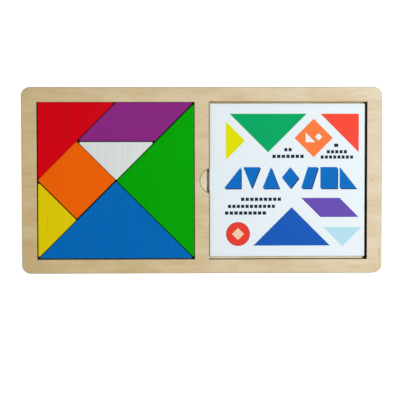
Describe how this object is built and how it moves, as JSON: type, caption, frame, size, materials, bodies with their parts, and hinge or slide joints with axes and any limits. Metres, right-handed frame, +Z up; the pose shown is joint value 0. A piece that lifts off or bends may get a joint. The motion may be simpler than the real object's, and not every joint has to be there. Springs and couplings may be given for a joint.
{
  "type": "tangram puzzle",
  "caption": "Flat plywood tray with two square windows, one holding a square cut into coloured wooden shapes, the other a stapled booklet with a hinged front cover.",
  "frame": {"origin": "centre of the tray's underside", "axes": "+X along the tray from the puzzle to the booklet, +Y across the tray towards the booklet's head, +Z up out of the windows"},
  "size_m": [0.285, 0.1474, 0.009],
  "materials": {
    "plywood_backing": "bare sanded birch plywood",
    "plywood_plate": "bare sanded birch plywood, window edges browned by the laser",
    "blue_stain": "satin colour over fine grain",
    "green_stain": "satin colour over fine grain",
    "red_stain": "satin colour over fine grain",
    "purple_stain": "satin colour over fine grain",
    "white_stain": "satin colour over fine grain",
    "orange_stain": "satin colour over fine grain",
    "yellow_stain": "satin colour over fine grain",
    "page_paper": "uncoated white paper",
    "cover_card": "coated white card",
    "cover_print": "coated white card with plain coloured shapes",
    "staple_wire": "bright drawn wire"
  },
  "bodies": {
    "tray": {"backing_panel": "plywood_backing", "frame_plate": "plywood_plate", "large_triangle_blue": "blue_stain", "large_triangle_green": "green_stain", "medium_triangle_red": "red_stain", "parallelogram_purple": "purple_stain", "small_triangle_white": "white_stain", "square_orange": "orange_stain", "small_triangle_yellow": "yellow_stain", "booklet_pages": "page_paper", "booklet_back_cover": "cover_card", "staple_lower": "staple_wire", "staple_upper": "staple_wire"},
    "front_cover": {"booklet_front_cover": "cover_print"}
  },
  "joints": [
    {"name": "cover_hinge", "type": "hinge", "parent": "tray", "child": "front_cover", "pos_m": [0.00935, 0.0001, 0.007], "axis": [0, -1, 0], "range_deg": [0, 150]}
  ]
}
